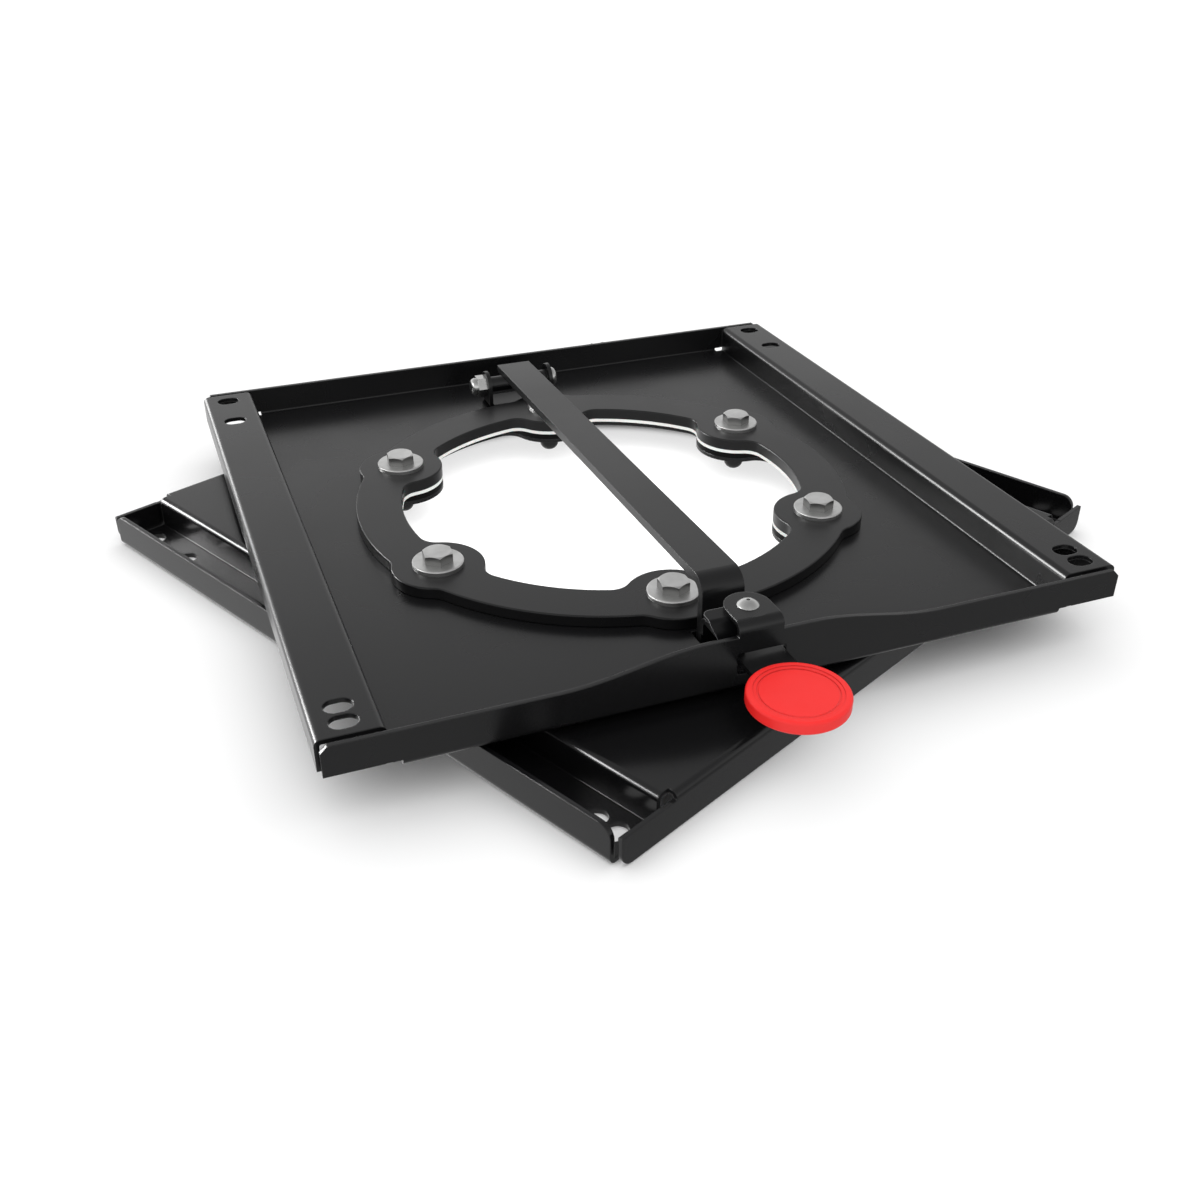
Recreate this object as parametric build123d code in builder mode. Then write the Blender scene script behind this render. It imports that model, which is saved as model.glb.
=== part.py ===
"""Swivel seat base: two folded steel plates that turn on each other, with a lock lever and a red knob.

Millimetres, +Z up. The origin is on the swivel axis at the underside of the lower rails. The upper plate is
square to the axes with its front towards -Y; the base is drawn square in its own turned plane.
"""

import os

from build123d import *

os.makedirs("parts", exist_ok=True)

# Pressed plates
sheet = 2.5
bend_r = 1.0
plate_h = 20.0
front_room = 46.7
side_room = 24.6
rail_width = 30.3
base_extra = 3.0
flange_reach = 5.3
flange_set_back = 0.4
fold_gap = 5.9
ear_gap = 1.6
ear_depth = 16.2
ear_chamfer = 3.4
ear_round = 6.5
relief_r = 2.0
upper_lip_h = 16.3
base_lip_h = 19.8
lip_corner_r = 7.0

# Fixing slots, two near each end of every rail
slot_length = 13.6
slot_width = 10.4
slot_in = 15.4
rear_slot_ends = (11.3, 46.0)
front_slot_ends = (21.8, 9.5)

# Swivel joint
seat_turn = 25.3
slide_t = 3.4
panel_play = 0.3
ring_t = 6.2
spigot_h = 0.7
bolt_circle_r = 128.0
bolt_count = 6
lobe_r = 25.3
lobe_blend = 11.0
ring_inside = 9.0
ring_outside = 17.5
ring_edge_r = 0.8
base_inside = 1.0
plate_clear = 10.0
bearing_gap = 0.3
slide_overlap = 12.0
notch_length = 25.0
notch_width = 8.0

# M10 ring fasteners with cap nuts
thread_r = 5.0
hole_gap = 0.4
across_flats = 15.0
head_h = 5.4
head_round = 0.1
bolt_length = 26.0
cap_hex_h = 6.0
cap_r = 6.3
cap_nut_h = 15.5
washer_r = 14.0
washer_t = 2.8
washer_edge_r = 0.8
tip_chamfer = 1.0

# Front flange of the upper plate
hump_h = 9.2
hump_foot = 100.0
hump_crown = 26.0
opening_drop = 11.6
opening_h = 11.6
opening_play = 0.6
tab_width = 23.2
tab_x = -0.9
tab_h = 15.8
tab_bend_r = 2.5
tab_in = 10.0
rivet_r = 3.0
rivet_head_r = 5.5
rivet_head_h = 2.8
rivet_foot_r = 4.2
rivet_foot_h = 1.5
mandrel_r = 0.9
mandrel_depth = 1.5

# Leaf spring under the tab
blade_t = 1.5
blade_left = 22.4
blade_right = 9.0
blade_rear_in = 15.7
blade_front_in = 6.5
blade_bend_r = 2.0
arm_right = 6.0
arm_foot_in = 0.5
arm_foot_left = 16.5
blade_corner_r = 4.0

# Lever
bar_width = 22.8
bar_t = 5.0
bar_rear_in = 28.5
bar_rear_rise = 6.4
bar_front_rise = 15.9
tongue_clear = 5.2
tongue_gap = 0.3
bar_bend_r = 7.8
tongue_slot_length = 26.0
tongue_slot_width = 11.0
strip_width = 24.0
strip_t = 3.0
strip_drop = 2.6
strip_foot_h = 9.0
strip_bend_r = 4.0
strip_out = 44.0

# Rear pivot with an M8 bolt
pivot_in = 37.0
pivot_drop = 3.6
lug_half = 22.0
lug_r = 9.5
pin_r = 4.0
pin_flats = 13.0
pin_head_r = 6.6
pin_head_h = 4.6
pin_head_round = 3.6
pin_hex_h = 6.2
pin_cap_r = 5.9
pin_nut_h = 10.5
pin_bore = 8.0
running_gap = 0.08
side_play = 0.5

# Knob
knob_r = 24.0
knob_out = 40.4
knob_top_drop = 0.8
knob_h = 6.8
knob_edge_r = 1.6
knob_rim = 3.4
knob_dish = 0.6
groove_r = 18.0
groove_width = 0.9

# Plan sizes that follow from the swivel ring and the room round it
ring_reach = bolt_circle_r + lobe_r
ring_inner_r = bolt_circle_r - ring_inside
ring_outer_r = bolt_circle_r + ring_outside
base_hole_r = bolt_circle_r - base_inside
plate_hole_r = bolt_circle_r + plate_clear
slide_outer_r = plate_hole_r + slide_overlap
rail_end = ring_reach + front_room
upper_length = 2 * rail_end
base_length = upper_length + base_extra
wall_half = ring_reach + side_room
lip_half = wall_half + rail_width
fold_half = wall_half - fold_gap
ear_half = lip_half - ear_gap
slot_x = wall_half + slot_in
tab_centre_y = tab_in - rail_end
blade_rear_y = blade_rear_in - rail_end
blade_front_y = blade_front_in - rail_end
arm_foot_y = arm_foot_in - rail_end
bar_rear_y = rail_end - bar_rear_in
tongue_y = -(ring_reach + tongue_clear + bar_t / 2)
strip_end_y = -(rail_end + strip_out)
pivot_y = rail_end - pivot_in
knob_y = -(rail_end + knob_out)

# Levels that follow from the sizes above
base_panel_z = plate_h
upper_z = base_panel_z + slide_t
panel_z = upper_z + sheet
rail_z = upper_z + plate_h
ring_z = upper_z + sheet + panel_play
spigot_z = ring_z - spigot_h
spacer_t = spigot_z - upper_z
washer_z = ring_z + ring_t
head_z = washer_z + washer_t
mid_r = bend_r + sheet / 2
upper_flange = upper_length / 2 + flange_reach - sheet / 2
base_flange = base_length / 2 + flange_reach - sheet / 2
bolt_hole_r = thread_r + hole_gap
tab_top_z = rail_z + tab_h
tab_under_z = tab_top_z - sheet
strip_z = rail_z - strip_drop
pivot_z = rail_z - pivot_drop
knob_top_z = rail_z - knob_top_drop

# The base is turned under the upper plate, as the seat stands part way round
base_xy = Plane.XY.rotated((0, 0, seat_turn))
base_xz = Plane((0, 0, 0), x_dir=base_xy.x_dir, z_dir=-base_xy.y_dir)
base_yz = Plane((0, 0, 0), x_dir=base_xy.y_dir, z_dir=base_xy.x_dir)


def folded(plane, points, thick=sheet, mid_radius=mid_r):
    """Return the section of a strip folded along the middle line through the points."""
    with BuildSketch(plane) as section:
        with BuildLine():
            FilletPolyline(*points, radius=mid_radius)
        trace(line_width=thick)
    return section.sketch


def tray_points(panel_mid, rail_mid, lip_end):
    """Return the middle line across a plate: lip, rail, wall, panel and back up the other side."""
    lip_mid = lip_half - sheet / 2
    right = [(wall_half, panel_mid), (wall_half, rail_mid), (lip_mid, rail_mid), (lip_mid, lip_end)]
    left = [(-x, z) for x, z in reversed(right)]
    return left + right


def ear_outline(plane, low_z, high_z):
    """Return the upright face of an end flange out to the tips of its two ears."""
    with BuildSketch(plane) as outline:
        with Locations((0, (low_z + high_z) / 2)):
            Rectangle(2 * ear_half, high_z - low_z)
    return outline.sketch


def fixing_slots(plane):
    """Return the eight slots of a plate, four on each rail."""
    rows = [*[rail_end - y for y in rear_slot_ends], *[y - rail_end for y in front_slot_ends]]
    with BuildSketch(plane) as slots:
        with Locations(*[(x, y) for x in (-slot_x, slot_x) for y in rows]):
            SlotOverall(slot_length, slot_width)
    return slots.sketch


def reliefs(plane, flange_mid):
    """Return the round reliefs where panel, wall and flange meet."""
    with BuildSketch(plane) as holes:
        with GridLocations(2 * wall_half, 2 * flange_mid, 2, 2):
            Circle(relief_r)
    return holes.sketch


def lobed_opening(plane, radius):
    """Return a round opening in which a lobe is left standing round every bolt."""
    with BuildSketch(plane) as opening:
        Circle(radius)
        with PolarLocations(bolt_circle_r, bolt_count):
            Circle(lobe_r, mode=Mode.SUBTRACT)
        fillet(opening.vertices(), lobe_blend)
    return opening.sketch


def bolt_holes(plane, radius=bolt_hole_r):
    """Return one round hole on every bolt position of the ring."""
    with BuildSketch(plane) as holes:
        with PolarLocations(bolt_circle_r, bolt_count):
            Circle(radius)
    return holes.sketch


# Lower plate: rails down, panel raised, lips up
with BuildPart() as base_plate:
    base_mid = base_panel_z - sheet / 2
    base_section = folded(base_xz, tray_points(base_mid, sheet / 2, base_lip_h))
    extrude(base_section, amount=base_length / 2, both=True)
    lip_tops = base_plate.edges().filter_by_position(Axis.Z, base_lip_h - 0.1, base_lip_h + 0.1)
    fillet(lip_tops.filter_by(Axis((0, 0, 0), base_xy.x_dir)), lip_corner_r)
    for end in (-1, 1):
        fold = [(end * wall_half, base_mid), (end * base_flange, base_mid), (end * base_flange, flange_set_back)]
        extrude(folded(base_yz, fold), amount=fold_half, both=True)
        with BuildSketch(base_xz.offset(end * base_flange)) as base_ears:
            add(ear_outline(Plane.XY, flange_set_back, ear_depth))
            fillet(base_ears.vertices().group_by(Axis.Y)[0], ear_round)
        extrude(amount=sheet / 2, both=True)
    extrude(reliefs(base_xy.offset(base_panel_z), base_flange), amount=-2 * relief_r, mode=Mode.SUBTRACT)
    extrude(fixing_slots(base_xy), amount=sheet, mode=Mode.SUBTRACT)
    extrude(lobed_opening(base_xy.offset(base_panel_z), base_hole_r), amount=-sheet, mode=Mode.SUBTRACT)
    extrude(bolt_holes(base_xy.offset(base_panel_z)), amount=-sheet, mode=Mode.SUBTRACT)
    with BuildSketch(base_xy.offset(base_panel_z)):
        with GridLocations(0, 2 * -tongue_y, 1, 2):
            Rectangle(notch_length, notch_width)
    extrude(amount=-sheet, mode=Mode.SUBTRACT)

# Plastic ring between the two panels
with BuildPart() as slide_ring:
    with BuildSketch(base_xy.offset(base_panel_z)):
        Circle(slide_outer_r)
    extrude(amount=slide_t)
    extrude(lobed_opening(base_xy.offset(base_panel_z), base_hole_r), amount=slide_t, mode=Mode.SUBTRACT)
    extrude(bolt_holes(base_xy.offset(base_panel_z)), amount=slide_t, mode=Mode.SUBTRACT)

# White ring that the upper plate turns on
with BuildPart() as spacer_ring:
    with BuildSketch(base_xy.offset(upper_z)):
        Circle(plate_hole_r - bearing_gap)
    extrude(amount=spacer_t)
    extrude(lobed_opening(base_xy.offset(upper_z), ring_inner_r), amount=spacer_t, mode=Mode.SUBTRACT)
    extrude(bolt_holes(base_xy.offset(upper_z)), amount=spacer_t, mode=Mode.SUBTRACT)

# Steel ring with six lobes that keeps the upper plate down, centred in it by a low spigot
with BuildPart() as retaining_ring:
    with BuildSketch(base_xy.offset(ring_z)) as ring_face:
        Circle(ring_outer_r)
        with PolarLocations(bolt_circle_r, bolt_count):
            Circle(lobe_r)
        fillet(ring_face.vertices(), lobe_blend)
    extrude(amount=ring_t)
    with BuildSketch(base_xy.offset(ring_z)):
        Circle(plate_hole_r - bearing_gap)
    extrude(amount=-spigot_h)
    ring_cut = ring_t + spigot_h
    extrude(lobed_opening(base_xy.offset(spigot_z), ring_inner_r), amount=ring_cut, mode=Mode.SUBTRACT)
    fillet(retaining_ring.faces().sort_by(Axis.Z)[-1].edges(), ring_edge_r)
    extrude(bolt_holes(base_xy.offset(spigot_z)), amount=ring_cut, mode=Mode.SUBTRACT)

with BuildPart() as ring_washers:
    extrude(bolt_holes(base_xy.offset(washer_z), washer_r), amount=washer_t)
    fillet(ring_washers.edges().group_by(Axis.Z)[-1], washer_edge_r)
    extrude(bolt_holes(base_xy.offset(washer_z)), amount=washer_t, mode=Mode.SUBTRACT)

with BuildPart() as ring_bolts:
    with BuildSketch(base_xy.offset(head_z)):
        with PolarLocations(bolt_circle_r, bolt_count):
            RegularPolygon(across_flats / 2, 6, major_radius=False)
    extrude(amount=head_h)
    with BuildSketch(base_xy.offset(head_z + head_h)):
        with PolarLocations(bolt_circle_r, bolt_count):
            Circle(across_flats / 2 - head_round)
    extrude(amount=-head_h, taper=-60, mode=Mode.INTERSECT)
    extrude(bolt_holes(base_xy.offset(head_z), thread_r), amount=-bolt_length)
    chamfer(ring_bolts.edges().group_by(Axis.Z)[0], tip_chamfer)

with BuildPart() as ring_nuts:
    nut_z = base_panel_z - sheet
    with BuildSketch(base_xy.offset(nut_z)):
        with PolarLocations(bolt_circle_r, bolt_count):
            RegularPolygon(across_flats / 2, 6, major_radius=False)
    extrude(amount=-cap_hex_h)
    extrude(bolt_holes(base_xy.offset(nut_z), cap_r), amount=-cap_nut_h)
    fillet(ring_nuts.edges().group_by(Axis.Z)[0], 0.9 * cap_r)
    nut_bore = bolt_length - (head_z - nut_z)
    extrude(bolt_holes(base_xy.offset(nut_z), thread_r), amount=-nut_bore, mode=Mode.SUBTRACT)

# Upper plate: panel low, rails up, lips down, with the humped front flange and the folded-back tab
with BuildPart() as upper_plate:
    upper_mid = panel_z - sheet / 2
    edge_z = rail_z - flange_set_back
    crown_z = edge_z + hump_h
    section = tray_points(upper_mid, rail_z - sheet / 2, rail_z - upper_lip_h)
    extrude(folded(Plane.XZ, section), amount=upper_length / 2, both=True)
    for end in (-1, 1):
        fold = [(end * wall_half, upper_mid), (end * upper_flange, upper_mid), (end * upper_flange, edge_z)]
        extrude(folded(Plane.YZ, fold), amount=fold_half, both=True)
        with BuildSketch(Plane.XZ.offset(end * upper_flange)) as upper_ears:
            add(ear_outline(Plane.XY, rail_z - ear_depth, edge_z))
            chamfer(upper_ears.vertices().group_by(Axis.Y)[-1], ear_chamfer)
        extrude(amount=sheet / 2, both=True)
    with BuildSketch(Plane.XZ.offset(upper_flange)):
        with BuildLine():
            Spline((-hump_foot, edge_z), (-hump_crown, crown_z), tangents=((1, 0), (1, 0)))
            Line((-hump_crown, crown_z), (hump_crown, crown_z))
            Spline((hump_crown, crown_z), (hump_foot, edge_z), tangents=((1, 0), (1, 0)))
            Polyline((hump_foot, edge_z), (hump_foot, panel_z), (-hump_foot, panel_z), (-hump_foot, edge_z))
        make_face()
    extrude(amount=sheet / 2, both=True)
    tab_mid = tab_top_z - sheet / 2
    tab_line = [(-upper_flange, edge_z), (-upper_flange, tab_mid), (tab_centre_y, tab_mid)]
    tab_section = folded(Plane.YZ.offset(tab_x), tab_line, sheet, tab_bend_r + sheet / 2)
    extrude(tab_section, amount=tab_width / 2, both=True)
    with BuildSketch(Plane.XY.offset(tab_under_z)):
        with Locations((tab_x, tab_centre_y)):
            Circle(tab_width / 2)
    extrude(amount=sheet)
    opening_low = rail_z - opening_drop
    opening_foot = strip_width / 2 + opening_play
    with BuildSketch(Plane.XZ.offset(upper_flange)) as handle_opening:
        with Locations((0, opening_low + opening_h / 2)):
            Rectangle(2 * opening_foot, opening_h)
        fillet(handle_opening.vertices(), bend_r)
    extrude(amount=sheet, both=True, mode=Mode.SUBTRACT)
    with BuildSketch(Plane.XY.offset(upper_z)):
        Circle(plate_hole_r)
        with Locations((0, tongue_y)):
            Rectangle(tongue_slot_length, tongue_slot_width)
    extrude(amount=sheet, mode=Mode.SUBTRACT)
    with BuildSketch(Plane.XY.offset(tab_under_z)):
        with Locations((tab_x, tab_centre_y)):
            Circle(rivet_r)
    extrude(amount=sheet, mode=Mode.SUBTRACT)
    extrude(reliefs(Plane.XY.offset(upper_z), upper_flange), amount=2 * relief_r, mode=Mode.SUBTRACT)
    extrude(fixing_slots(Plane.XY.offset(rail_z)), amount=-sheet, mode=Mode.SUBTRACT)

# Spring blade riveted under the tab, its left end folded down to rest on the handle strip
with BuildPart() as leaf_spring:
    blade_z = tab_under_z - blade_t
    blade_mid = blade_z + blade_t / 2
    arm_line = [(blade_rear_y, blade_mid), (blade_front_y, blade_mid), (arm_foot_y, strip_z + blade_t / 2)]
    arm_section = folded(Plane.YZ.offset(-blade_left), arm_line, blade_t, blade_bend_r)
    extrude(arm_section, amount=blade_left - arm_right)
    with BuildSketch(Plane.XZ.offset(-blade_rear_y)):
        with BuildLine():
            Polyline((-blade_left, blade_z), (-arm_foot_left, strip_z), (-blade_left, strip_z), close=True)
        make_face()
    extrude(amount=blade_rear_y - arm_foot_y + blade_t, mode=Mode.SUBTRACT)
    with BuildSketch(Plane.XY.offset(blade_z)):
        with BuildLine():
            Polyline(
                (-arm_right, blade_front_y),
                (blade_right, blade_front_y),
                (blade_right, blade_rear_y),
                (-arm_right, blade_rear_y),
                close=True,
            )
        make_face()
    extrude(amount=blade_t)
    fillet(leaf_spring.edges().filter_by(Axis.Z).group_by(Axis.Y)[-1], blade_corner_r)
    with BuildSketch(Plane.XY.offset(blade_z)):
        with Locations((tab_x, tab_centre_y)):
            Circle(rivet_r)
    extrude(amount=blade_t, mode=Mode.SUBTRACT)

with BuildPart() as tab_rivet:
    dome_r = (rivet_head_r**2 + rivet_head_h**2) / (2 * rivet_head_h)
    with BuildSketch(Plane.XZ.offset(-tab_centre_y).shift_origin((tab_x, tab_centre_y, 0))):
        with BuildLine():
            Polyline(
                (0, tab_top_z + rivet_head_h),
                (0, blade_z - rivet_foot_h),
                (rivet_foot_r, blade_z - rivet_foot_h),
                (rivet_foot_r, blade_z),
                (rivet_r, blade_z),
                (rivet_r, tab_top_z),
                (rivet_head_r, tab_top_z),
            )
            RadiusArc((rivet_head_r, tab_top_z), (0, tab_top_z + rivet_head_h), -dome_r)
        make_face()
    revolve(axis=Axis((tab_x, tab_centre_y, 0), (0, 0, 1)))
    with BuildSketch(Plane.XY.offset(tab_top_z + rivet_head_h)):
        with Locations((tab_x, tab_centre_y)):
            Circle(mandrel_r)
    extrude(amount=-mandrel_depth, mode=Mode.SUBTRACT)

# Welded U bracket, bolt and nut of the rear pivot
with BuildPart() as pivot_bracket:
    web_mid = panel_z + sheet / 2
    lug_line = [(-lug_half, pivot_z), (-lug_half, web_mid), (lug_half, web_mid), (lug_half, pivot_z)]
    extrude(folded(Plane.XZ.offset(-pivot_y), lug_line), amount=lug_r, both=True)
    for side in (-1, 1):
        with BuildSketch(Plane.YZ.offset(side * lug_half)):
            with Locations((pivot_y, pivot_z)):
                Circle(lug_r)
        extrude(amount=sheet / 2, both=True)
    with BuildSketch(Plane.YZ):
        with Locations((pivot_y, pivot_z)):
            Circle(pin_r + hole_gap)
    extrude(amount=lug_half + sheet, both=True, mode=Mode.SUBTRACT)

with BuildPart() as pivot_bolt:
    lug_outer = lug_half + sheet / 2
    with BuildSketch(Plane.YZ.offset(lug_outer)):
        with Locations((pivot_y, pivot_z)):
            Circle(pin_head_r)
    extrude(amount=pin_head_h)
    fillet(pivot_bolt.edges().group_by(Axis.X)[-1], pin_head_round)
    with BuildSketch(Plane.YZ.offset(lug_outer)):
        with Locations((pivot_y, pivot_z)):
            Circle(pin_r)
    extrude(amount=-2 * lug_outer - pin_bore)
    chamfer(pivot_bolt.edges().group_by(Axis.X)[0], tip_chamfer)

with BuildPart() as pivot_nut:
    with BuildSketch(Plane.YZ.offset(-lug_outer)):
        with Locations((pivot_y, pivot_z)):
            RegularPolygon(pin_flats / 2, 6, major_radius=False)
    extrude(amount=-pin_hex_h)
    with BuildSketch(Plane.YZ.offset(-lug_outer)):
        with Locations((pivot_y, pivot_z)):
            Circle(pin_cap_r)
    extrude(amount=-pin_nut_h)
    fillet(pivot_nut.edges().group_by(Axis.X)[0], pin_nut_h - pin_hex_h - tip_chamfer)
    with BuildSketch(Plane.YZ.offset(-lug_outer)):
        with Locations((pivot_y, pivot_z)):
            Circle(pin_r)
    extrude(amount=-pin_bore, mode=Mode.SUBTRACT)

# Lock lever: sloping bar, bent down into the tongue that rides on the base panel
bar_slope = (bar_front_rise - bar_rear_rise) / (bar_rear_y - tongue_y)
bar_rear_mid = rail_z + bar_rear_rise - bar_t / 2
bar_front_mid = rail_z + bar_front_rise - bar_t / 2

with BuildPart() as lever_bar:
    bar_line = [(bar_rear_y, bar_rear_mid), (tongue_y, bar_front_mid), (tongue_y, base_panel_z + tongue_gap)]
    extrude(folded(Plane.YZ, bar_line, bar_t, bar_bend_r), amount=bar_width / 2, both=True)

with BuildPart() as pivot_tube:
    bar_under = bar_rear_mid + bar_slope * (bar_rear_y - pivot_y) - bar_t / 2
    with BuildSketch(Plane.YZ):
        with Locations((pivot_y, pivot_z)):
            Circle((bar_under - pivot_z) / (1 + bar_slope**2) ** 0.5)
            Circle(pin_r + running_gap, mode=Mode.SUBTRACT)
    extrude(amount=lug_half - sheet / 2 - side_play, both=True)

with BuildPart() as handle_strip:
    strip_mid = strip_z - strip_t / 2
    foot_y = tongue_y - bar_t / 2 - strip_t / 2
    strip_line = [(foot_y, strip_mid - strip_foot_h), (foot_y, strip_mid), (strip_end_y, strip_mid)]
    extrude(folded(Plane.YZ, strip_line, strip_t, strip_bend_r), amount=strip_width / 2, both=True)

# Red knob with a raised rim and a ring groove, pocketed for the strip
with BuildPart() as knob:
    knob_low_z = knob_top_z - knob_h
    dish_z = knob_top_z - knob_dish
    with BuildSketch(Plane.XZ.offset(-knob_y)):
        with BuildLine():
            Polyline(
                (0, dish_z),
                (0, knob_low_z),
                (knob_r, knob_low_z),
                (knob_r, knob_top_z),
                (knob_r - knob_rim, knob_top_z),
                (knob_r - knob_rim, dish_z),
                (groove_r + groove_width, dish_z),
                (groove_r + groove_width, dish_z - knob_dish),
                (groove_r, dish_z - knob_dish),
                (groove_r, dish_z),
                close=True,
            )
        make_face()
    revolve(axis=Axis((0, knob_y, 0), (0, 0, 1)))
    outer_edges = knob.edges().filter_by(GeomType.CIRCLE).group_by(SortBy.RADIUS)[-1]
    fillet(outer_edges, knob_edge_r)
    with BuildSketch(Plane.XZ.offset(-strip_end_y)):
        with Locations((0, strip_mid)):
            Rectangle(strip_width, strip_t)
    extrude(amount=-2 * knob_r, mode=Mode.SUBTRACT)

base_plate.part.label = "base_plate"
export_step(base_plate.part, "parts/base_plate.step")
slide_ring.part.label = "slide_ring"
export_step(slide_ring.part, "parts/slide_ring.step")
spacer_ring.part.label = "spacer_ring"
export_step(spacer_ring.part, "parts/spacer_ring.step")
retaining_ring.part.label = "retaining_ring"
export_step(retaining_ring.part, "parts/retaining_ring.step")
ring_bolts.part.label = "ring_bolts"
export_step(ring_bolts.part, "parts/ring_bolts.step")
ring_washers.part.label = "ring_washers"
export_step(ring_washers.part, "parts/ring_washers.step")
ring_nuts.part.label = "ring_nuts"
export_step(ring_nuts.part, "parts/ring_nuts.step")
upper_plate.part.label = "upper_plate"
export_step(upper_plate.part, "parts/upper_plate.step")
leaf_spring.part.label = "leaf_spring"
export_step(leaf_spring.part, "parts/leaf_spring.step")
tab_rivet.part.label = "tab_rivet"
export_step(tab_rivet.part, "parts/tab_rivet.step")
pivot_bracket.part.label = "pivot_bracket"
export_step(pivot_bracket.part, "parts/pivot_bracket.step")
pivot_bolt.part.label = "pivot_bolt"
export_step(pivot_bolt.part, "parts/pivot_bolt.step")
pivot_nut.part.label = "pivot_nut"
export_step(pivot_nut.part, "parts/pivot_nut.step")
lever_bar.part.label = "lever_bar"
export_step(lever_bar.part, "parts/lever_bar.step")
pivot_tube.part.label = "pivot_tube"
export_step(pivot_tube.part, "parts/pivot_tube.step")
handle_strip.part.label = "handle_strip"
export_step(handle_strip.part, "parts/handle_strip.step")
knob.part.label = "knob"
export_step(knob.part, "parts/knob.step")
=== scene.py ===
"""Studio scene of a swivel seat base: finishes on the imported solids, white studio and camera."""

import logging
import math
from dataclasses import dataclass, field
from enum import Enum
from typing import Any, Dict, List, Optional, Tuple

import bpy
from mathutils import Matrix, Vector


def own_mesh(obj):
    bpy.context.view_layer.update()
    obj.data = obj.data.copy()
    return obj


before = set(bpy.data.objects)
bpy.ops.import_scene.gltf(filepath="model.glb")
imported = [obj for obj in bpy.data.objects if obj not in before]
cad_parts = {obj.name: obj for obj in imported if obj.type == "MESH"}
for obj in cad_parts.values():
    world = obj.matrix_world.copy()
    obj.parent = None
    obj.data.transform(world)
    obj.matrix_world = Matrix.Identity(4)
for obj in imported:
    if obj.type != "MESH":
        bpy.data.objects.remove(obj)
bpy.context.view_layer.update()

LOG = logging.getLogger("swivel_seat_base")
MM = 0.001
EDGE_SAMPLES = 6
NOISE_SPAN = (0.3, 0.7)  # nearly all of a noise texture's values lie between these
Span = Tuple[float, float]  # two numbers, such as a start and an end, or a width and a height
Colour = Tuple[float, float, float, float]
Point = Tuple[float, float, float]


def linear(hex_value: str) -> Colour:
    """Turns an sRGB hex colour to linear light.

    Args:
        hex_value: a colour such as "#102030".

    Returns:
        Red, green and blue in linear light, and an alpha of 1.
    """
    parts = [int(hex_value[i:i + 2], 16) / 255 for i in (1, 3, 5)]
    light = [c / 12.92 if c <= 0.04045 else ((c + 0.055) / 1.055) ** 2.4 for c in parts]
    return (light[0], light[1], light[2], 1.0)


def light_only(lamp: bpy.types.Object, things: List[bpy.types.Object]) -> None:
    """Makes a light shine only on some things.

    Args:
        lamp: the light.
        things: the objects that take its light.
    """
    takers = bpy.data.collections.new(lamp.name + "_takers")
    for thing in things:
        takers.objects.link(thing)
    lamp.light_linking.receiver_collection = takers


def per_metre(size_mm: float) -> float:
    """Gives the texture scale whose pattern repeats about every size_mm millimetres."""
    return 1.0 / (size_mm * MM)


def add_node(tree: bpy.types.NodeTree, kind: str, inputs: Optional[Dict[Any, Any]] = None,
             **settings: Any) -> bpy.types.Node:
    """Adds one node with its settings, values and links.

    Args:
        tree: the node tree that takes the node.
        kind: the node's type name.
        inputs: a value or an output socket for each input, by name or number.
        settings: properties of the node itself.

    Returns:
        The new node.
    """
    node = tree.nodes.new(kind)
    for name, value in settings.items():
        setattr(node, name, value)
    for name, value in (inputs or {}).items():
        if isinstance(value, bpy.types.NodeSocket):
            tree.links.new(value, node.inputs[name])
        else:
            node.inputs[name].default_value = value
    return node


class Surface(Enum):
    """How the metal under a plated finish was made."""

    FORGED = "forged"
    STAMPED = "stamped"
    PULLED = "pulled"


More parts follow.
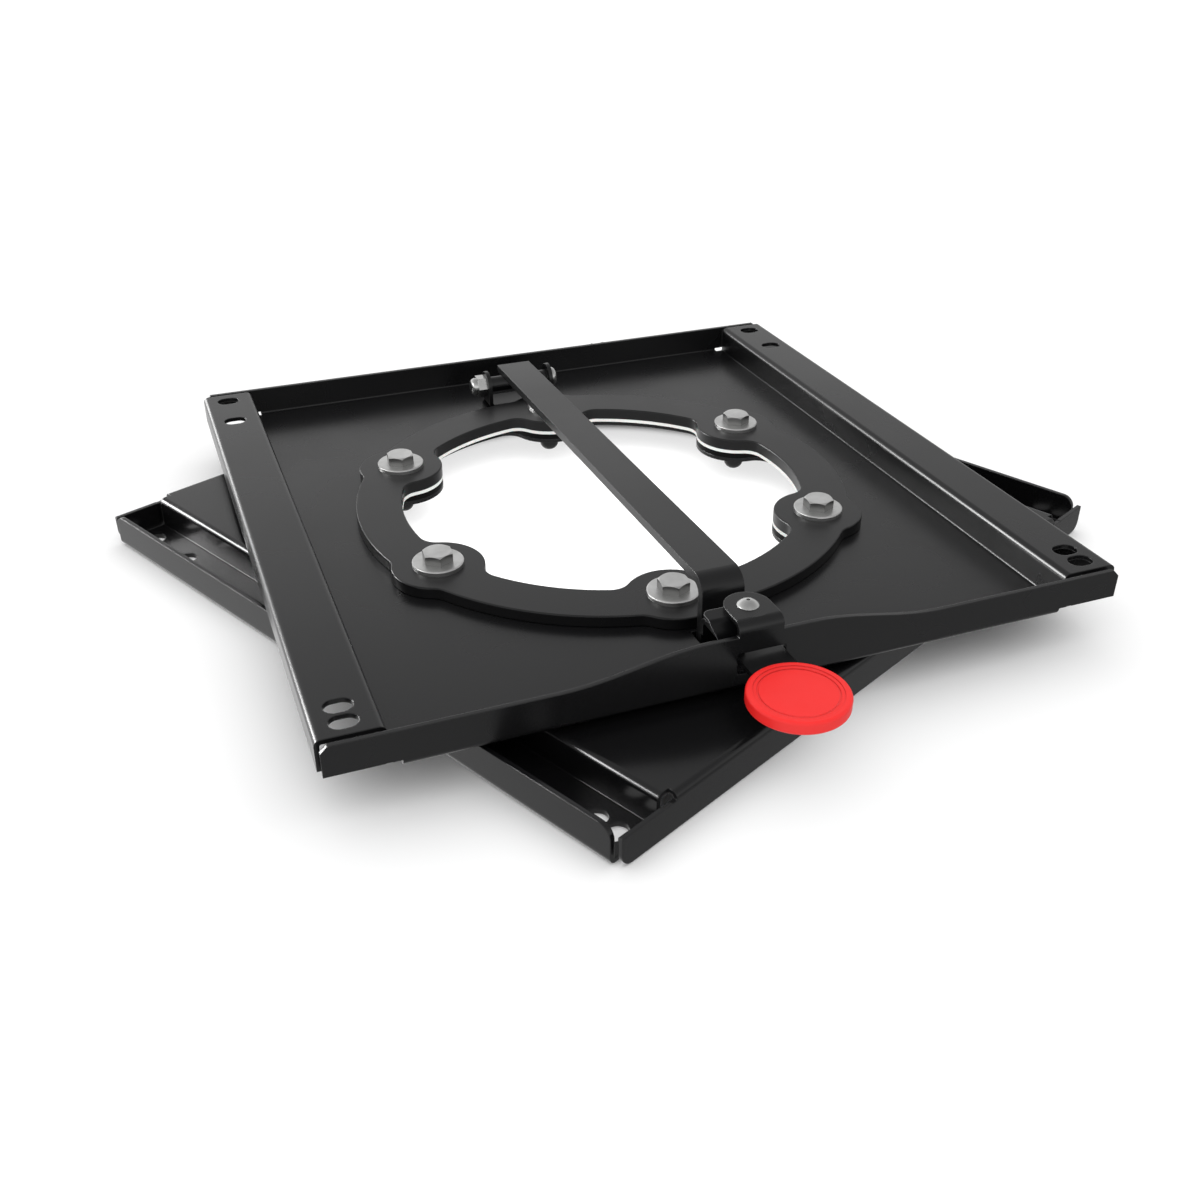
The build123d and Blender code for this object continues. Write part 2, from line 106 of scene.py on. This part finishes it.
@dataclass(frozen=True)
class Finish:
    """A finish: its name, main colour and gloss.

    Attributes:
        name: the material's name, from the real material and its process.
        colour: main colour as an sRGB hex value.
        roughness: middle roughness of the surface.
        edge_mm: radius that the eye sees on the finish's sharp edges.
    """

    name: str
    colour: str
    roughness: float
    edge_mm: float = 0.4

    def material(self) -> bpy.types.Material:
        """Makes the material with its shader, and lets the finish dress it.

        Returns:
            The finished material.
        """
        made = bpy.data.materials.new(self.name)
        made.use_nodes = True
        tree = made.node_tree
        tree.nodes.clear()
        shader = add_node(tree, "ShaderNodeBsdfPrincipled",
                          {"Base Color": linear(self.colour), "Roughness": self.roughness})
        add_node(tree, "ShaderNodeOutputMaterial", {"Surface": shader.outputs["BSDF"]})
        place = add_node(tree, "ShaderNodeTexCoord").outputs["Object"]
        self.dress(tree, shader, place)
        return made

    def dress(self, tree: bpy.types.NodeTree, shader: bpy.types.Node,
              place: bpy.types.NodeSocket) -> None:
        """Adds the finish's own detail to the shader.

        Args:
            tree: the material's node tree.
            shader: the material's shader node.
            place: coordinates on the object, in metres.
        """
        raise NotImplementedError

    def vary(self, tree: bpy.types.NodeTree, place: bpy.types.NodeSocket, size_mm: float,
             low: float, high: float, detail: float = 3.0) -> bpy.types.NodeSocket:
        """Makes a soft cloudy value.

        Args:
            tree: the material's node tree.
            place: coordinates on the object, in metres.
            size_mm: size of the clouds.
            low: least value.
            high: greatest value.
            detail: how much finer structure the clouds hold.

        Returns:
            The socket that gives the value.
        """
        cloud = add_node(tree, "ShaderNodeTexNoise",
                         {"Vector": place, "Scale": per_metre(size_mm), "Detail": detail})
        value = add_node(tree, "ShaderNodeMapRange",
                         {"Value": cloud.outputs["Fac"], "From Min": NOISE_SPAN[0],
                          "From Max": NOISE_SPAN[1], "To Min": low, "To Max": high})
        return value.outputs["Result"]

    def relief(self, tree: bpy.types.NodeTree, height: bpy.types.NodeSocket, depth_mm: float,
               strength: float) -> bpy.types.NodeSocket:
        """Turns a height into a normal, on top of the rounded edges.

        Args:
            tree: the material's node tree.
            height: the height, from 0 to 1.
            depth_mm: how deep a height of 1 is.
            strength: share of the effect.

        Returns:
            The normal's socket.
        """
        edge = add_node(tree, "ShaderNodeBevel", {"Radius": self.edge_mm * MM},
                        samples=EDGE_SAMPLES)
        bump = add_node(tree, "ShaderNodeBump",
                        {"Strength": strength, "Distance": depth_mm * MM, "Height": height,
                         "Normal": edge.outputs["Normal"]})
        return bump.outputs["Normal"]


@dataclass(frozen=True)
class PowderCoat(Finish):
    """Polyester powder baked on steel.

    The powder melts to a closed film with a faint orange peel, so the black stays deep where it
    looks away from the light and turns grey where it mirrors a white wall at a low angle.

    Attributes:
        edge_wear_and_glint_colour: colour where the film draws thin over an edge; a light value
            here is also a painted highlight along the edges.
        peel_mm: width of the orange peel's waves.
        cloud_mm: width of the slow change in gloss.
        shine: how strongly the film mirrors, where 0.5 is a common lacquer.
        gloss_swing: how far the roughness strays from its middle.
        peel_depth_mm: depth of the orange peel.
        peel_share: share of the orange peel that shows.
        edge_wear_and_glint_span: agreement of flat and rounded normal where the film starts to
            thin, and where it is thinnest.
    """

    edge_wear_and_glint_colour: str = "#1c1c1d"
    peel_mm: float = 2.4
    cloud_mm: float = 70.0
    shine: float = 0.5
    gloss_swing: float = 0.035
    peel_depth_mm: float = 0.02
    peel_share: float = 0.25
    edge_wear_and_glint_span: Span = (0.98, 0.8)

    def dress(self, tree: bpy.types.NodeTree, shader: bpy.types.Node,
              place: bpy.types.NodeSocket) -> None:
        """Adds orange peel, slow gloss changes and the thin film on edges, whose light colour can
        also be a painted highlight.

        Args:
            tree: the material's node tree.
            shader: the material's shader node.
            place: coordinates on the object, in metres.
        """
        shader.inputs["Specular IOR Level"].default_value = self.shine
        gloss = self.vary(tree, place, self.cloud_mm, self.roughness - self.gloss_swing,
                          self.roughness + self.gloss_swing)
        tree.links.new(gloss, shader.inputs["Roughness"])
        flat = add_node(tree, "ShaderNodeNewGeometry").outputs["Normal"]
        round_edge = add_node(tree, "ShaderNodeBevel", {"Radius": self.edge_mm * MM},
                              samples=EDGE_SAMPLES)
        same = add_node(tree, "ShaderNodeVectorMath",
                        {0: flat, 1: round_edge.outputs["Normal"]}, operation="DOT_PRODUCT")
        # Edges take the edge colour: the film worn thin, and where that colour is light, a painted
        # highlight.
        thin = add_node(tree, "ShaderNodeMapRange",
                        {"Value": same.outputs["Value"], "From Min": self.edge_wear_and_glint_span[0],
                         "From Max": self.edge_wear_and_glint_span[1], "To Min": 0.0, "To Max": 1.0})
        film = add_node(tree, "ShaderNodeMix",
                        {"Factor": thin.outputs["Result"], 6: linear(self.colour),
                         7: linear(self.edge_wear_and_glint_colour)}, data_type="RGBA")
        tree.links.new(film.outputs[2], shader.inputs["Base Color"])
        peel = add_node(tree, "ShaderNodeTexNoise",
                        {"Vector": place, "Scale": per_metre(self.peel_mm), "Detail": 2.0})
        normal = self.relief(tree, peel.outputs["Fac"], self.peel_depth_mm, self.peel_share)
        tree.links.new(normal, shader.inputs["Normal"])


@dataclass(frozen=True)
class ZincPlate(Finish):
    """Bright zinc on a steel fastener.

    The zinc is a soft grey metal skin with a fine crystalline grain, so faces turn from light to
    dark grey with their angle and never mirror sharply. Upright sides also get a darker colour,
    which is painted shade.

    Attributes:
        surface: how the steel under the zinc was made.
        stain: darker tone of the passivated film.
        side_shade_colour: darker colour of the upright sides, a painted shade.
        grain_mm: size of the zinc's grain, drawn coarser than real so that it shows.
        grain_depth_mm: depth of the zinc's grain.
        tool_mm: width of the marks that stamping leaves.
        tool_depth_mm: depth of those marks.
        relief_share: share of grain or marks that shows.
        film_mm: size of the patches of passivated film.
        film_share: strongest share of the film's tone.
        gloss_mm: size of the changes in gloss.
        gloss_swing: how far the roughness falls and rises from its middle.
        upright_span: height of the normal where a side starts to count as upright, and where it
            fully does.
    """

    surface: Surface = Surface.FORGED
    stain: str = "#bcbcbb"
    side_shade_colour: str = "#b9b9b8"
    grain_mm: float = 1.1
    grain_depth_mm: float = 0.01
    tool_mm: float = 1.6
    tool_depth_mm: float = 0.02
    relief_share: float = 0.3
    film_mm: float = 9.0
    film_share: float = 0.55
    gloss_mm: float = 2.5
    gloss_swing: Span = (-0.03, 0.04)
    upright_span: Span = (0.5, 0.1)

    def dress(self, tree: bpy.types.NodeTree, shader: bpy.types.Node,
              place: bpy.types.NodeSocket) -> None:
        """Adds the crystalline grain, its darker film, painted shade on the upright sides and the
        tool marks of the steel below.

        Args:
            tree: the material's node tree.
            shader: the material's shader node.
            place: coordinates on the object, in metres.
        """
        shader.inputs["Metallic"].default_value = 1.0
        crystal = add_node(tree, "ShaderNodeTexVoronoi",
                           {"Vector": place, "Scale": per_metre(self.grain_mm), "Randomness": 1.0})
        cloud = self.vary(tree, place, self.film_mm, 0.0, self.film_share)
        mixed = add_node(tree, "ShaderNodeMix",
                         {"Factor": cloud, 6: linear(self.colour), 7: linear(self.stain)},
                         data_type="RGBA")
        # Painted shade: upright sides take the darker side colour in place of the darker
        # reflections they show.
        facing = add_node(tree, "ShaderNodeSeparateXYZ",
                          {"Vector": add_node(tree, "ShaderNodeNewGeometry").outputs["Normal"]})
        upright = add_node(tree, "ShaderNodeMapRange",
                           {"Value": facing.outputs["Z"], "From Min": self.upright_span[0],
                            "From Max": self.upright_span[1], "To Min": 0.0, "To Max": 1.0})
        skin = add_node(tree, "ShaderNodeMix",
                        {"Factor": upright.outputs["Result"], 6: mixed.outputs[2],
                         7: linear(self.side_shade_colour)}, data_type="RGBA")
        tree.links.new(skin.outputs[2], shader.inputs["Base Color"])
        gloss = self.vary(tree, place, self.gloss_mm, self.roughness + self.gloss_swing[0],
                          self.roughness + self.gloss_swing[1])
        tree.links.new(gloss, shader.inputs["Roughness"])
        height, depth = crystal.outputs["Distance"], self.grain_depth_mm
        if self.surface is Surface.STAMPED:
            marks = add_node(tree, "ShaderNodeTexNoise",
                             {"Vector": place, "Scale": per_metre(self.tool_mm), "Detail": 4.0})
            height, depth = marks.outputs["Fac"], self.tool_depth_mm
        tree.links.new(self.relief(tree, height, depth, self.relief_share), shader.inputs["Normal"])


@dataclass(frozen=True)
class MouldedPlastic(Finish):
    """Injection-moulded plastic.

    The spark-eroded mould leaves a fine matte grain that spreads the highlight, and the colour
    goes right through the piece with hardly any variation.

    Attributes:
        deep_colour: slightly deeper tone of the colour's flow.
        grain_mm: size of the mould's grain.
        grain_depth_mm: depth of the mould's grain.
        glow: share of light that scatters under the skin.
        shine: how strongly the skin mirrors, where 0.5 is a common plastic.
        ior: the plastic's index of refraction.
        under_skin: how far red, green and blue light spread under the skin, against each other.
        under_skin_mm: how far light spreads under the skin.
        flow_mm: size of the colour's flow.
        flow_share: strongest share of the deeper tone.
        gloss_mm: size of the changes in gloss.
        gloss_swing: how far the roughness strays from its middle.
        grain_share: share of the mould's grain that shows.
    """

    deep_colour: str = "#000000"
    grain_mm: float = 0.9
    grain_depth_mm: float = 0.02
    glow: float = 0.0
    shine: float = 0.5
    ior: float = 1.49
    under_skin: Point = (1.0, 0.25, 0.2)
    under_skin_mm: float = 1.2
    flow_mm: float = 16.0
    flow_share: float = 0.5
    gloss_mm: float = 5.0
    gloss_swing: float = 0.04
    grain_share: float = 0.35

    def dress(self, tree: bpy.types.NodeTree, shader: bpy.types.Node,
              place: bpy.types.NodeSocket) -> None:
        """Adds the mould's grain, slow colour flow and the light under the skin.

        Args:
            tree: the material's node tree.
            shader: the material's shader node.
            place: coordinates on the object, in metres.
        """
        shader.inputs["IOR"].default_value = self.ior
        shader.inputs["Specular IOR Level"].default_value = self.shine
        shader.inputs["Subsurface Weight"].default_value = self.glow
        shader.inputs["Subsurface Radius"].default_value = self.under_skin
        shader.inputs["Subsurface Scale"].default_value = self.under_skin_mm * MM
        flow = self.vary(tree, place, self.flow_mm, 0.0, self.flow_share, detail=1.5)
        mixed = add_node(tree, "ShaderNodeMix",
                         {"Factor": flow, 6: linear(self.colour), 7: linear(self.deep_colour)},
                         data_type="RGBA")
        tree.links.new(mixed.outputs[2], shader.inputs["Base Color"])
        gloss = self.vary(tree, place, self.gloss_mm, self.roughness - self.gloss_swing,
                          self.roughness + self.gloss_swing)
        tree.links.new(gloss, shader.inputs["Roughness"])
        grain = add_node(tree, "ShaderNodeTexNoise",
                         {"Vector": place, "Scale": per_metre(self.grain_mm), "Detail": 3.0})
        normal = self.relief(tree, grain.outputs["Fac"], self.grain_depth_mm, self.grain_share)
        tree.links.new(normal, shader.inputs["Normal"])


@dataclass(frozen=True)
class StudioPaper(Finish):
    """Rolled background paper: an even matte white with a very fine tooth.

    Attributes:
        tooth_mm: size of the paper's tooth, drawn coarser than real.
        tooth_depth_mm: depth of the tooth.
        tooth_share: share of the tooth that shows.
    """

    tooth_mm: float = 3.0
    tooth_depth_mm: float = 0.02
    tooth_share: float = 0.1

    def dress(self, tree: bpy.types.NodeTree, shader: bpy.types.Node,
              place: bpy.types.NodeSocket) -> None:
        """Adds the paper's tooth and takes away its gloss.

        Args:
            tree: the material's node tree.
            shader: the material's shader node.
            place: coordinates on the object, in metres.
        """
        shader.inputs["Specular IOR Level"].default_value = 0.0
        tooth = add_node(tree, "ShaderNodeTexNoise",
                         {"Vector": place, "Scale": per_metre(self.tooth_mm), "Detail": 2.0})
        normal = self.relief(tree, tooth.outputs["Fac"], self.tooth_depth_mm, self.tooth_share)
        tree.links.new(normal, shader.inputs["Normal"])


# Baked film on the lower plate: the smoothest of the coats, so bends carry sharp bright lines.
BASE_COAT = PowderCoat("steel_base_powder_coated", "#0f0f10", 0.20, 0.8)
# Baked film on the upper plate: deep black at the front, a soft grey sheen towards the rear.
SHEET_COAT = PowderCoat("steel_sheet_powder_coated", "#0f0f10", 0.27, 0.8)
# Baked film on cut plate: an even dark grey without sharp highlights.
RING_COAT = PowderCoat("steel_ring_powder_coated", "#0f0f10", 0.30, 0.6, peel_mm=2.0)
# Baked film on flat bar: the same even dark grey, with a soft line on each bend.
LEVER_COAT = PowderCoat("steel_bar_powder_coated", "#0f0f10", 0.30, 0.6)
# Blackened spring steel: hardly any gloss on its faces; its sheared edges are bare metal, painted
# light grey, which is also a painted highlight in place of their glints.
SPRING_COAT = PowderCoat("spring_steel_blackened", "#0f0f10", 0.32, 0.5, edge_wear_and_glint_colour="#b4b4b6",
                         peel_mm=1.5, shine=0.2)
# Black plating on turned nuts: a dull charcoal that shows only as a silhouette in the opening.
NUT_COAT = PowderCoat("steel_nut_black_plated", "#1b1b1b", 0.35, 0.4, peel_mm=1.2)
# Zinc on forged heads: pale tops, and upright sides clearly darkened with painted shade.
BOLT_ZINC = ZincPlate("steel_bolt_zinc_plated", "#e3e3e2", 0.32, 0.25, side_shade_colour="#949493")
# Zinc on stamped discs: a flat pale grey with faint tool marks and a rim slightly darkened with
# painted shade.
WASHER_ZINC = ZincPlate("steel_washer_zinc_plated", "#e8e8e7", 0.36, 0.3,
                        surface=Surface.STAMPED, side_shade_colour="#c2c2c1")
# Brighter zinc on the pivot's bolt and nut: small crisp highlights in the shade of the flange, and
# faint painted shade on upright sides.
PIVOT_ZINC = ZincPlate("steel_pivot_zinc_plated", "#d8d8d7", 0.24, 0.3, side_shade_colour="#d0d0cf")
# Zinc on a pulled rivet: a small bright dome, the glossiest metal of the part, with painted shade
# on its steep rim.
RIVET_METAL = ZincPlate("rivet_steel_zinc_plated", "#dededd", 0.20, surface=Surface.PULLED)
# Moulded acetal: a clean white line between the black rings.
WHITE_SLIDE = MouldedPlastic("acetal_white_moulded", "#f1f1ee", 0.42, deep_colour="#e4e4e0",
                             glow=0.15)
# Moulded nylon: a nearly lightless black under the white line.
BLACK_SLIDE = MouldedPlastic("nylon_black_moulded", "#0a0a0a", 0.45, deep_colour="#070707",
                             shine=0.15)
# Moulded polypropylene: a strong even red with a matte face.
KNOB_RED = MouldedPlastic("polypropylene_red_moulded", "#ef2321", 0.42, deep_colour="#ea1f1d",
                          glow=0.05)
# Rolled paper: plain white that takes soft shadows.
PAPER = StudioPaper("paper_white_rolled", "#fbfbfb", 1.0)


@dataclass
class SubAssembly:
    """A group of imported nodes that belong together.

    Attributes:
        finishes: the finish of each node.
    """

    finishes: Dict[str, Finish] = field(default_factory=dict)

    def dress(self, made: Dict[str, bpy.types.Material]) -> List[str]:
        """Gives each node its finish.

        Args:
            made: materials made so far, by finish name; new ones are added.

        Returns:
            The names of the dressed nodes.
        """
        for node, finish in self.finishes.items():
            if finish.name not in made:
                made[finish.name] = finish.material()
            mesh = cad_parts[node].data
            mesh.materials.clear()
            mesh.materials.append(made[finish.name])
        return list(self.finishes)


@dataclass
class BasePlate(SubAssembly):
    """The lower plate that is bolted to the seat box."""

    finishes: Dict[str, Finish] = field(default_factory=lambda: {"base_plate": BASE_COAT})


@dataclass
class RingBearing(SubAssembly):
    """The ring that holds the plates together, with its slides and fasteners."""

    finishes: Dict[str, Finish] = field(default_factory=lambda: {
        "slide_ring": BLACK_SLIDE,
        "spacer_ring": WHITE_SLIDE,
        "retaining_ring": RING_COAT,
        "ring_washers": WASHER_ZINC,
        "ring_bolts": BOLT_ZINC,
        "ring_nuts": NUT_COAT,
    })


@dataclass
class UpperPlate(SubAssembly):
    """The folded plate that carries the seat, with its riveted leaf spring.

    Attributes:
        finishes: the finish of each node.
        foot_lift: how far the lever pushes the spring's foot up, in metres; not used.
    """

    finishes: Dict[str, Finish] = field(default_factory=lambda: {
        "upper_plate": SHEET_COAT,
        "leaf_spring": SPRING_COAT,
        "tab_rivet": RIVET_METAL,
    })
    foot_lift: float = 0.0023

    def dress(self, made: Dict[str, bpy.types.Material]) -> List[str]:
        """Gives each node its finish, and gives the spring its own copy of its mesh.

        Args:
            made: materials made so far, by finish name; new ones are added.

        Returns:
            The names of the dressed nodes.
        """
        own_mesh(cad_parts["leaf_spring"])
        return super().dress(made)


@dataclass
class LeverPivot(SubAssembly):
    """The bracket that carries the lever's pivot."""

    finishes: Dict[str, Finish] = field(default_factory=lambda: {
        "pivot_bracket": LEVER_COAT,
        "pivot_bolt": PIVOT_ZINC,
        "pivot_nut": PIVOT_ZINC,
    })


@dataclass
class LockLever(SubAssembly):
    """The bar that locks the swivel, with its handle strip and knob."""

    finishes: Dict[str, Finish] = field(default_factory=lambda: {
        "lever_bar": LEVER_COAT,
        "pivot_tube": LEVER_COAT,
        "handle_strip": LEVER_COAT,
        "knob": KNOB_RED,
    })

    def dress(self, made: Dict[str, bpy.types.Material]) -> List[str]:
        """Gives each node its finish, and keeps the knob and bar out of what lies beside them.

        The knob gives no red cast to the coat and the paper, and the bar no dark image to the bolt.

        Args:
            made: materials made so far, by finish name; new ones are added.

        Returns:
            The names of the dressed nodes.
        """
        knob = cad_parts["knob"]
        knob.visible_diffuse = False
        knob.visible_glossy = False
        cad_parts["lever_bar"].visible_glossy = False
        return super().dress(made)


BLACK_NODES = ("base_plate", "upper_plate", "retaining_ring", "lever_bar", "handle_strip")
ZINC_NODES = ("ring_bolts", "ring_washers", "pivot_bolt", "pivot_nut", "tab_rivet")


@dataclass(frozen=True)
class Softbox:
    """A rectangular studio light.

    Attributes:
        name: the light's name.
        place: its centre, in metres.
        size: its width and height, in metres.
        glow: how bright its face is, where 1 is a white wall.
        nodes: the nodes that mirror it, or all of them if none is named.
        target: the point that it faces.
    """

    name: str
    place: Point
    size: Span
    glow: float
    nodes: Tuple[str, ...] = ()
    target: Point = (0.0, 0.0, 0.03)

    def build(self) -> bpy.types.Object:
        """Adds the light, whose only work is its mirror image in gloss and metal.

        Returns:
            The light.
        """
        data = bpy.data.lights.new(self.name, "AREA")
        data.shape = "RECTANGLE"
        data.size, data.size_y = self.size
        data.energy = self.glow * math.pi * self.size[0] * self.size[1]
        lamp = bpy.data.objects.new(self.name, data)
        lamp.location = self.place
        lamp.visible_diffuse = False
        if self.nodes:
            light_only(lamp, [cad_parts[node] for node in self.nodes])
        aim = Vector(self.target) - Vector(self.place)
        lamp.rotation_euler = aim.to_track_quat("-Z", "Y").to_euler()
        bpy.context.scene.collection.objects.link(lamp)
        return lamp


@dataclass
class Studio:
    """White paper floor, soft light and the camera.

    Attributes:
        floor_half: half the floor's side, in metres.
        floor_gap: how far the paper lies below the rails, so that their faces don't coincide.
        wall: brightness of the white room near the horizon.
        cornice: brightness of the room where its wall meets the ceiling.
        ceiling: brightness of the room straight above.
        front_ground: brightness that gloss mirrors from below the horizon, on the camera's side.
        rear_ground: brightness that gloss mirrors from below the horizon, behind the object.
        right_share: how bright the room's right side is, against its left side.
        sky_glow: how bright the soft light from above makes white paper.
        sky_spread: angle over which that light spreads, in degrees.
        wall_span: how far up a direction points where the wall darkens to the cornice.
        ceiling_span: how far up a direction points where the cornice darkens to the ceiling.
        ground_span: how far back a direction points where front ground turns to rear ground.
        horizon_span: how far up a direction points where the ground turns to the wall.
        right_span: how far right a direction points where the room darkens to its right side.
        camera_place: the camera's place, in metres.
        camera_right: direction of the picture's right.
        camera_forward: direction that the camera looks.
        focal_share: focal length over the picture's width.
        sensor_mm: width of the camera's sensor.
        clip: nearest and farthest distance that the camera sees, in metres.
        boxes: the studio lights that gloss mirrors.
        spot_height: height of the spot above the middle opening, in metres.
        spot_radius: radius of the spot's beam at the paper, in metres.
        spot_glow: how much brighter the spot makes the paper.
        spot_blend: share of the beam that fades out at its rim.
        spot_size: radius of the spot itself, in metres.
        sky_height: height at which the soft light from above is drawn, in metres.
    """

    floor_half: float = 30.0
    floor_gap: float = 0.0003
    wall: float = 1.0
    cornice: float = 0.60
    ceiling: float = 0.38
    front_ground: float = 0.46
    rear_ground: float = 1.0
    right_share: float = 0.62
    sky_glow: float = 0.62
    sky_spread: float = 110.0
    wall_span: Span = (0.30, 0.60)
    ceiling_span: Span = (0.60, 1.0)
    ground_span: Span = (0.0, 0.8)
    horizon_span: Span = (-0.05, 0.03)
    right_span: Span = (0.0, 0.9)
    camera_place: Point = (-0.250106, -0.639030, 0.371494)
    camera_right: Point = (0.93214309, -0.36208835, 0.00113267)
    camera_forward: Point = (0.30977955, 0.79585439, -0.52024265)
    focal_share: float = 1274.27 / 1200.0
    sensor_mm: float = 36.0
    clip: Span = (0.01, 100.0)
    boxes: Tuple[Softbox, ...] = (
        Softbox("rear_softbox", (-1.2, 2.75, 0.34), (0.8, 0.58), 6.0, BLACK_NODES),
        Softbox("rear_left_softbox", (-2.3, 1.93, 0.75), (0.95, 1.17), 28.0, BLACK_NODES),
        Softbox("left_softbox", (-2.33, 0.67, 1.1), (1.1, 0.9), 24.0, ("base_plate",)),
        Softbox("zinc_softbox", (-2.34, 0.41, 1.06), (1.4, 0.7), 4.0, ZINC_NODES),
    )
    spot_height: float = 0.9
    spot_radius: float = 0.17
    spot_glow: float = 0.76
    spot_blend: float = 0.15
    spot_size: float = 0.005
    sky_height: float = 3.0

    def build_floor(self) -> bpy.types.Object:
        """Lays the paper floor under the object.

        Returns:
            The floor.
        """
        h = self.floor_half
        mesh = bpy.data.meshes.new("paper_floor")
        z = -self.floor_gap
        corners = [(-h, -h, z), (h, -h, z), (h, h, z), (-h, h, z)]
        mesh.from_pydata(corners, [], [(0, 1, 2, 3)])
        mesh.materials.append(PAPER.material())
        floor = bpy.data.objects.new("paper_floor", mesh)
        bpy.context.scene.collection.objects.link(floor)
        floor.visible_glossy = False
        return floor

    def build_light(self) -> None:
        """Lights the white room, the paper and the gloss."""
        world = bpy.data.worlds.new("white_room")
        world.use_nodes = True
        tree = world.node_tree
        tree.nodes.clear()
        place = add_node(tree, "ShaderNodeTexCoord").outputs["Generated"]
        way = add_node(tree, "ShaderNodeSeparateXYZ", {"Vector": place}).outputs
        lower = self.blend(tree, way["Z"], self.wall_span, self.wall, self.cornice)
        upper = self.blend(tree, way["Z"], self.ceiling_span, lower, self.ceiling)
        ground = self.blend(tree, way["Y"], self.ground_span, self.front_ground, self.rear_ground)
        level = self.blend(tree, way["Z"], self.horizon_span, ground, upper)
        side = self.blend(tree, way["X"], self.right_span, 1.0, self.right_share)
        glow = add_node(tree, "ShaderNodeMath", {0: level, 1: side}, operation="MULTIPLY")
        # Gloss mirrors the uneven room; looked at directly, the background is plain white.
        seen = add_node(tree, "ShaderNodeLightPath").outputs["Is Camera Ray"]
        plain = self.blend(tree, seen, (0.0, 1.0), glow.outputs["Value"], self.wall)
        room = add_node(tree, "ShaderNodeBackground",
                        {"Color": linear("#ffffff"), "Strength": plain})
        add_node(tree, "ShaderNodeOutputWorld", {"Surface": room.outputs["Background"]})
        bpy.context.scene.world = world
        for box in self.boxes:
            box.build()
        self.build_sky()

    def blend(self, tree: bpy.types.NodeTree, value: bpy.types.NodeSocket, span: Span,
              first: Any, last: Any) -> bpy.types.NodeSocket:
        """Blends two brightnesses along one direction of the room.

        Args:
            tree: the world's node tree.
            value: how far a direction points that way, from -1 to 1.
            span: where the blend starts and ends.
            first: brightness before the blend, as a number or a socket.
            last: brightness after the blend, as a number or a socket.

        Returns:
            The socket that gives the brightness.
        """
        return add_node(tree, "ShaderNodeMapRange",
                        {"Value": value, "From Min": span[0], "From Max": span[1],
                         "To Min": first, "To Max": last}).outputs["Result"]

    def build_sky(self) -> bpy.types.Object:
        """Adds the wide soft light from above that evens out the paper.

        Returns:
            The light.
        """
        data = bpy.data.lights.new("ceiling_light", "SUN")
        data.angle = math.radians(self.sky_spread)
        data.energy = self.sky_glow * math.pi
        lamp = bpy.data.objects.new("ceiling_light", data)
        lamp.location = (0.0, 0.0, self.sky_height)
        lamp.visible_glossy = False
        bpy.context.scene.collection.objects.link(lamp)
        return lamp

    def build_spot(self, floor: bpy.types.Object) -> bpy.types.Object:
        """Lights the paper under the middle opening with an even pool, where the plates shade it.

        Args:
            floor: the paper, which alone takes this light.

        Returns:
            The light.
        """
        data = bpy.data.lights.new("opening_spot", "SPOT")
        data.spot_size = 2.0 * math.atan(self.spot_radius / self.spot_height)
        data.spot_blend = self.spot_blend
        data.shadow_soft_size = self.spot_size
        data.use_shadow = False
        data.energy = self.spot_glow * 4.0 * math.pi**2 * self.spot_height**2
        lamp = bpy.data.objects.new("opening_spot", data)
        lamp.location = (0.0, 0.0, self.spot_height)
        light_only(lamp, [floor])
        bpy.context.scene.collection.objects.link(lamp)
        return lamp

    def build_camera(self) -> bpy.types.Object:
        """Sets up the camera at the photograph's angle.

        Returns:
            The camera.
        """
        data = bpy.data.cameras.new("camera")
        data.sensor_width = self.sensor_mm
        data.lens = self.sensor_mm * self.focal_share
        data.clip_start, data.clip_end = self.clip
        right, forward = Vector(self.camera_right), Vector(self.camera_forward)
        up = right.cross(forward)
        turn = Matrix((right, up, -forward)).transposed()
        camera = bpy.data.objects.new("camera", data)
        camera.matrix_world = Matrix.Translation(self.camera_place) @ turn.to_4x4()
        bpy.context.scene.collection.objects.link(camera)
        bpy.context.scene.camera = camera
        return camera

    def build(self) -> None:
        """Builds the whole studio with plain colour output."""
        floor = self.build_floor()
        self.build_light()
        self.build_spot(floor)
        self.build_camera()
        bpy.context.scene.view_settings.view_transform = "Standard"


def main() -> None:
    """Builds the studio and dresses each sub-assembly."""
    logging.basicConfig(level=logging.INFO, format="%(name)s: %(message)s")
    Studio().build()
    made: Dict[str, bpy.types.Material] = {}
    for part in (BasePlate(), RingBearing(), UpperPlate(), LeverPivot(), LockLever()):
        for node in part.dress(made):
            LOG.info("%s dressed: %s", type(part).__name__, node)


if __name__ == "__main__":
    main()
